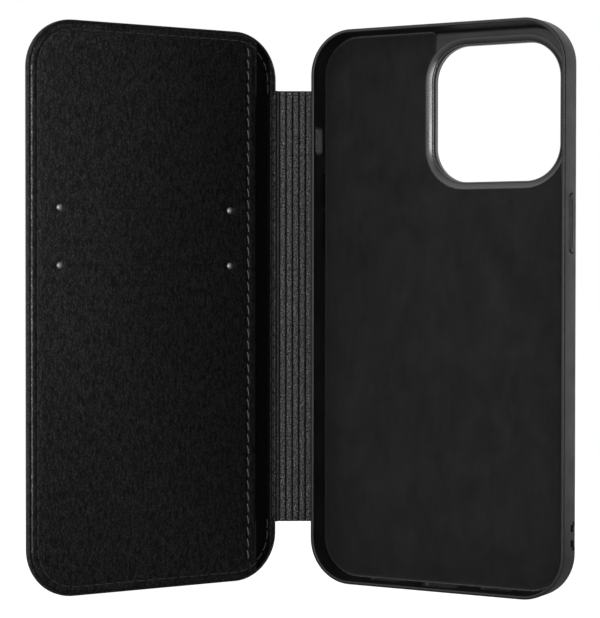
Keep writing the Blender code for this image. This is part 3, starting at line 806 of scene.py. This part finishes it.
def panel_height(x, z):
    """Height of the panel's face over its flat level: soft edges, stitch lines, slits and rivets."""
    depth = rounded_distance(x, z, (SHEET_INSET, SHEET_INSET), (WIDTH - SHEET_INSET, HEIGHT - SHEET_INSET),
                             FLAP_CORNER - SHEET_INSET)
    depth = min(depth, PANEL_EDGE - x)
    level = -0.28 * (1 - ease(depth, -0.05, 0.55))
    inset = rounded_distance(x, z, (STITCH_INSET, STITCH_INSET),
                             (WIDTH - STITCH_INSET, HEIGHT - STITCH_INSET), FLAP_CORNER - STITCH_INSET)
    level -= 0.12 * math.exp(-(inset / 0.45) ** 2)
    level -= 0.10 * math.exp(-((x - SEAM_AT) / 0.42) ** 2)
    level += 0.05 * math.sin(x * 0.13 + 1.1) * math.sin(z * 0.05 + 0.4)
    first, last = RIVETS_AT
    for slit in SLITS:
        inside = ease(x, first - 0.2, first + 0.8) * ease(-x, -last - 0.2, -last + 0.8)
        level += 0.05 * inside * math.exp(-((z - slit - 0.5) / 0.5) ** 2)
        if abs(z - slit) < 0.06:
            level -= 0.35 * inside
        for rivet in RIVETS_AT:
            level -= 0.16 * math.exp(-(math.hypot(x - rivet, z - slit) / 1.35) ** 4)
    return level


def pocket_panel():
    """Grained sheet with two card slits; its rows and columns are finest beside slits, stitches and edges."""
    rows = [SHEET_INSET + 6.0 * (part / 14) ** 2 for part in range(14)]
    rows += spaced(6.8, HEIGHT - 6.8, 0.9)
    rows += [HEIGHT - SHEET_INSET - 6.0 * (part / 14) ** 2 for part in range(14)]
    for slit in SLITS:
        rows = [row for row in rows if abs(row - slit) > 2.2]
        for step in (0.05, 0.065, 0.15, 0.3, 0.45, 0.65, 0.9, 1.2, 1.6, 2.1):
            rows += [slit - step, slit + step]
    rows = sorted(rows)
    edge = [0.0, 0.0022, 0.0045, 0.007, 0.0095, 0.013, 0.017, 0.021, 0.025, 0.03, 0.037]
    columns = edge + spaced(0.046, 0.90, 0.0115)[:-1] + [0.90, 0.91, 0.918, 0.926, 0.932, 0.937, 0.942, 0.947,
                                                        0.952, 0.957, 0.962, 0.968, 0.974, 0.98, 0.985, 0.99,
                                                        0.9935, 0.997, 1.0]

    def place(column, row):
        low, high = column_ends(row, SHEET_INSET, PANEL_EDGE)
        x = low + (high - low) * column
        return (flap_x(x), PANEL_FACE - panel_height(x, row), row), (x, 0.0, row)

    panel = sheet_grid("pocket_panel_face", columns, rows, place, FLAP, PANEL)
    skirt(panel, 0.5)
    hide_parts("pocket_panel")
    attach(panel, "flap")


def skirt(piece, drop):
    """Turns an open sheet's border down behind it."""
    shape = bmesh.new()
    shape.from_mesh(piece.data)
    border = [edge for edge in shape.edges if edge.is_boundary]
    made = bmesh.ops.extrude_edge_only(shape, edges=border)
    back = (FLAP.to_3x3() @ Vector((0, 1, 0))).normalized() * drop * MM
    verts = [item for item in made["geom"] if isinstance(item, bmesh.types.BMVert)]
    bmesh.ops.translate(shape, verts=verts, vec=back)
    shape.to_mesh(piece.data)
    shape.free()


def lining_height(x, z):
    """Inner face of the flap's lining: smooth channel beside the pocket, then a raised textured band."""
    face = -1.6
    raised = ease(x, 79.7, 80.2)
    edge = rounded_distance(x, z, (SHEET_INSET, SHEET_INSET), (WIDTH - BAND_INSET, HEIGHT - SHEET_INSET),
                            FLAP_CORNER - SHEET_INSET)
    stitch = math.exp(-((x - 80.9) / 0.3) ** 2)
    return face - 0.55 * raised + 0.08 * stitch * raised + 0.3 * (1 - ease(edge, 0.0, 0.5))


def flap_lining():
    def valley(column, row):
        high = column_ends(row, SHEET_INSET, CHANNEL_END)[1]
        x = min(CHANNEL_START + (CHANNEL_END - CHANNEL_START) * column, high)
        return (flap_x(x), lining_height(x, row), row), (x, 0.0, row)

    # The smooth channel takes the darker, duller lining leather, which paints the shade that falls there.
    smooth = sheet_grid("flap_lining_channel", spaced(0.0, 1.0, 0.08), spaced(0.9, HEIGHT - 0.9, 1.0), valley,
                        FLAP, CHANNEL_PAINTED_SHADE)
    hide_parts("flap_lining")
    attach(smooth, "flap")

    def band(column, row):
        high = column_ends(row, BAND_INSET, WIDTH - BAND_INSET)[1]
        x = min(BAND_START + (WIDTH - BAND_INSET - BAND_START) * column, high)
        return (flap_x(x), lining_height(x, row) - 0.02, row), (x, 0.0, row)

    textured = sheet_grid("flap_lining_edge_band", spaced(0.0, 1.0, 0.06),
                          spaced(BAND_END, HEIGHT - BAND_END, 1.0), band, FLAP, EDGE_BAND)
    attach(textured, "flap")


def rivet(name, from_free_edge, height):
    """Turned dome with a rolled rim."""
    profile = [(0.0, -0.5), (0.3, -0.48), (0.6, -0.4), (0.82, -0.27), (0.95, -0.1), (0.99, 0.02), (0.97, 0.1),
               (0.9, 0.14), (0.5, 0.14), (0.5, 0.6)]
    verts = []
    sides = 40
    for radius, depth in profile:
        for side in range(sides):
            angle = 2 * math.pi * side / sides
            verts.append((flap_x(from_free_edge) + radius * math.cos(angle), PANEL_FACE + 0.08 + depth,
                          height + radius * math.sin(angle)))
    piece = make_piece(name + "_dome", verts, join_rings(len(profile), sides), FLAP, STEEL)
    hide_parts(name)
    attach(piece, "flap")


# ---------------------------------------------------------------- stitches

def stitch_points(start, end, level, lift):
    """One stitch that comes out of the leather, lies on it and goes back in."""
    points = []
    for share, height in ((0.0, 0.12), (0.08, 0.0), (0.2, -lift), (0.5, -lift * 1.15), (0.8, -lift),
                          (0.92, 0.0), (1.0, 0.12)):
        x = start[0] + (end[0] - start[0]) * share
        z = start[1] + (end[1] - start[1]) * share
        points.append((x, level + height, z))
    return points


def flap_stitch(start, end, level, lift, slant=0.0):
    """A stitch on the flap between two (x, z) ends, measured from its free edge."""
    return stitch_points((flap_x(start[0] + slant), start[1]), (flap_x(end[0] - slant), end[1]), level, lift)


def dashes(route, pitch, gap):
    """Splits a route of (x, z) points into stitches: pairs of ends."""
    lengths = [0.0]
    for one, two in zip(route, route[1:]):
        lengths.append(lengths[-1] + math.dist(one, two))

    def at(distance):
        for number in range(1, len(route)):
            if lengths[number] >= distance:
                share = (distance - lengths[number - 1]) / (lengths[number] - lengths[number - 1])
                one, two = route[number - 1], route[number]
                return one[0] + (two[0] - one[0]) * share, one[1] + (two[1] - one[1]) * share
        return route[-1]

    count = round(lengths[-1] / pitch)
    step = lengths[-1] / count
    return [(at(number * step + gap / 2), at((number + 1) * step - gap / 2)) for number in range(count)]


def perimeter_route():
    """From the spine's top round the flap to the spine's base, as (x, z) points."""
    turn = FLAP_CORNER - STITCH_INSET
    near = WIDTH - STITCH_INSET
    corners = ((WIDTH - FLAP_CORNER, HEIGHT - FLAP_CORNER), (FLAP_CORNER, HEIGHT - FLAP_CORNER),
               (FLAP_CORNER, FLAP_CORNER), (WIDTH - FLAP_CORNER, FLAP_CORNER))
    route = [(near, SPINE_TOP - SPINE_STITCH_INSET)]
    for quarter, (centre_x, centre_z) in enumerate(corners):
        for step in range(13):
            angle = math.pi / 2 * (quarter + step / 12)
            route.append((centre_x + turn * math.cos(angle), centre_z + turn * math.sin(angle)))
    route.append((near, SPINE_BASE + SPINE_STITCH_INSET))
    return route


def perimeter_level(x, z):
    if x < PANEL_EDGE:
        return PANEL_FACE - panel_height(x, z)
    return lining_height(x, z)


def flap_stitches():
    """The dark stitches round the flap and beside its hinge, and the paler seam of the pockets."""
    lines = []
    for start, end in dashes(perimeter_route(), STITCH_PITCH, 0.9):
        level = perimeter_level((start[0] + end[0]) / 2, (start[1] + end[1]) / 2)
        lines.append(flap_stitch(start, end, level, 0.16))
    near = WIDTH - HINGE_STITCH_INSET
    level = lining_height(near, HEIGHT / 2)
    route = [(near, SPINE_BASE + SPINE_STITCH_INSET), (near, SPINE_TOP - SPINE_STITCH_INSET)]
    lines += [flap_stitch(start, end, level, 0.16) for start, end in dashes(route, STITCH_PITCH, 0.55)]
    thread = tube("flap_perimeter_stitches", lines, 0.21, FLAP, DARK_THREAD)
    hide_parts("flap_perimeter_stitch")
    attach(thread, "flap")
    lines = []
    for start, end in dashes([(SEAM_AT, 6.1), (SEAM_AT, 160.7)], STITCH_PITCH, 1.1):
        level = PANEL_FACE - panel_height(SEAM_AT, start[1])
        lines.append(flap_stitch(start, end, level, 0.2, slant=0.22))
    seam = tube("pocket_seam_stitches", lines, 0.18, FLAP, SEAM_THREAD)
    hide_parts("pocket_seam_stitch")
    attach(seam, "flap")


def spine_stitches():
    for name, height in (("spine_stitch_top", SPINE_TOP - SPINE_STITCH_INSET),
                         ("spine_stitch_bottom", SPINE_BASE + SPINE_STITCH_INSET)):
        lines = [stitch_points(start, end, SPINE_FACE - 0.03, 0.16)
                 for start, end in dashes([(-SPINE_LENGTH + 1.2, height), (-1.2, height)], 2.8, 0.4)]
        thread = tube(name + "_threads", lines, 0.17, SPINE, DARK_THREAD)
        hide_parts(name)
        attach(thread, "spine")


# ---------------------------------------------------------------- camera, light and floor

def camera():
    data = bpy.data.cameras.new("camera")
    data.sensor_fit = "HORIZONTAL"
    data.sensor_width = SENSOR_WIDTH
    data.lens = LENS
    data.clip_start, data.clip_end = 0.01, 20.0
    eye = bpy.data.objects.new("camera", data)
    bpy.context.scene.collection.objects.link(eye)
    eye.location = TRAY @ Vector(EYE)
    aim = Vector(LOOK).to_track_quat("-Z", "Y").to_matrix()
    eye.rotation_euler = (aim @ Matrix.Rotation(ROLL, 3, "Z")).to_euler()
    bpy.context.scene.camera = eye


def area_light(name, place, target, size, radiance):
    data = bpy.data.lights.new(name, "AREA")
    data.shape = "RECTANGLE"
    data.size, data.size_y = size
    data.energy = radiance * math.pi * size[0] * size[1]
    lamp = bpy.data.objects.new(name, data)
    bpy.context.scene.collection.objects.link(lamp)
    lamp.location = place
    lamp.rotation_euler = (Vector(target) - Vector(place)).to_track_quat("-Z", "Y").to_euler()
    lamp.visible_camera = False


def glow(tree, place, direction, sharpness, strength):
    """Strength that falls off with the angle from a direction."""
    facing = tree.nodes.new("ShaderNodeVectorMath")
    facing.operation = "DOT_PRODUCT"
    facing.inputs[1].default_value = Vector(direction).normalized()
    tree.links.new(place, facing.inputs[0])
    value = facing.outputs["Value"]
    for operation, number in (("MAXIMUM", 0.0), ("POWER", sharpness), ("MULTIPLY", strength)):
        step = tree.nodes.new("ShaderNodeMath")
        step.operation = operation
        step.inputs[1].default_value = number
        tree.links.new(value, step.inputs[0])
        value = step.outputs["Value"]
    return value


def surroundings():
    """White to the camera; to everything else, the soft glows."""
    world = bpy.data.worlds.new("studio")
    bpy.context.scene.world = world
    world.use_nodes = True
    tree = world.node_tree
    tree.nodes.clear()
    output = tree.nodes.new("ShaderNodeOutputWorld")
    mix = tree.nodes.new("ShaderNodeMixShader")
    seen = tree.nodes.new("ShaderNodeBackground")
    seen.inputs["Color"].default_value = (1, 1, 1, 1)
    lit = tree.nodes.new("ShaderNodeBackground")
    path = tree.nodes.new("ShaderNodeLightPath")
    place = tree.nodes.new("ShaderNodeTexCoord").outputs["Generated"]
    total = None
    for direction, sharpness, strength in GLOWS:
        value = glow(tree, place, direction, sharpness, strength)
        add = tree.nodes.new("ShaderNodeMath")
        tree.links.new(value, add.inputs[0])
        if total is None:
            add.inputs[1].default_value = AMBIENT
        else:
            tree.links.new(total, add.inputs[1])
        total = add.outputs["Value"]
    tree.links.new(total, lit.inputs["Strength"])
    tree.links.new(path.outputs["Is Camera Ray"], mix.inputs["Fac"])
    tree.links.new(lit.outputs["Background"], mix.inputs[1])
    tree.links.new(seen.outputs["Background"], mix.inputs[2])
    tree.links.new(mix.outputs["Shader"], output.inputs["Surface"])
    scene = bpy.context.scene
    scene.view_settings.view_transform = "Standard"
    scene.view_settings.look = "None"


def floor():
    """Pale disc that fades out; it glows white to the camera and takes the contact shadow from the light."""
    bpy.ops.mesh.primitive_circle_add(vertices=96, radius=FLOOR_RADIUS, fill_type="NGON", location=(0, 0, 0))
    ground = bpy.context.object
    ground.name = "pale_floor"
    make = Nodes("pale_floor_paint")
    place = make.add("ShaderNodeTexCoord").outputs["Object"]
    radius = make.add("ShaderNodeVectorMath", {"operation": "LENGTH"})
    make.put(radius.inputs[0], place)
    opacity = make.span(radius.outputs["Value"], *FLOOR_FADE, 1.0, 0.0)
    grain = make.noise(make.solid(), 0.8, 3.0)
    colour = make.between(grain, (0.23, 0.23, 0.23), (0.26, 0.26, 0.26))
    camera_ray = make.add("ShaderNodeLightPath").outputs["Is Camera Ray"]
    make.finish(colour, 0.7, Alpha=opacity, Emission_Color=(1.0, 1.0, 1.0, 1.0),
                Emission_Strength=make.span(camera_ray, 0.0, 1.0, 0.1, 1.0))
    ground.data.materials.append(make.material)


def lights():
    front = Vector(FRONT_TARGET) + Vector(FRONT_DIRECTION).normalized() * FRONT_DISTANCE
    area_light("front_softbox", front, FRONT_TARGET, FRONT_SIZE, FRONT_GLOW)
    area_light("side_softbox", SIDE_PLACE, SIDE_TARGET, SIDE_SIZE, SIDE_GLOW)


# ---------------------------------------------------------------- build

def build():
    tray_shell()
    tray_lining()
    camera_bezel()
    for name, span, sign in BUTTONS:
        button(name, span, sign)
    outer_back()
    outer_creases()
    outer_flap()
    spine_lining()
    pocket_panel()
    flap_lining()
    for level, height in (("lower", SLITS[0]), ("upper", SLITS[1])):
        for end, place in (("free", RIVETS_AT[0]), ("hinge", RIVETS_AT[1])):
            rivet("rivet_%s_%s" % (level, end), place, height)
    flap_stitches()
    spine_stitches()
    for node, material, slot in (("flap_board", BOARD, "stiff_board"),
                                 ("spine_stiffener", BOARD, "stiff_board"),
                                 ("pocket_divider", CLOTH, "pocket_cloth")):
        carried = frame["nodes"][node]
        carried.data.materials.clear()
        carried.data.materials.append(material)


build()
camera()
surroundings()
floor()
lights()
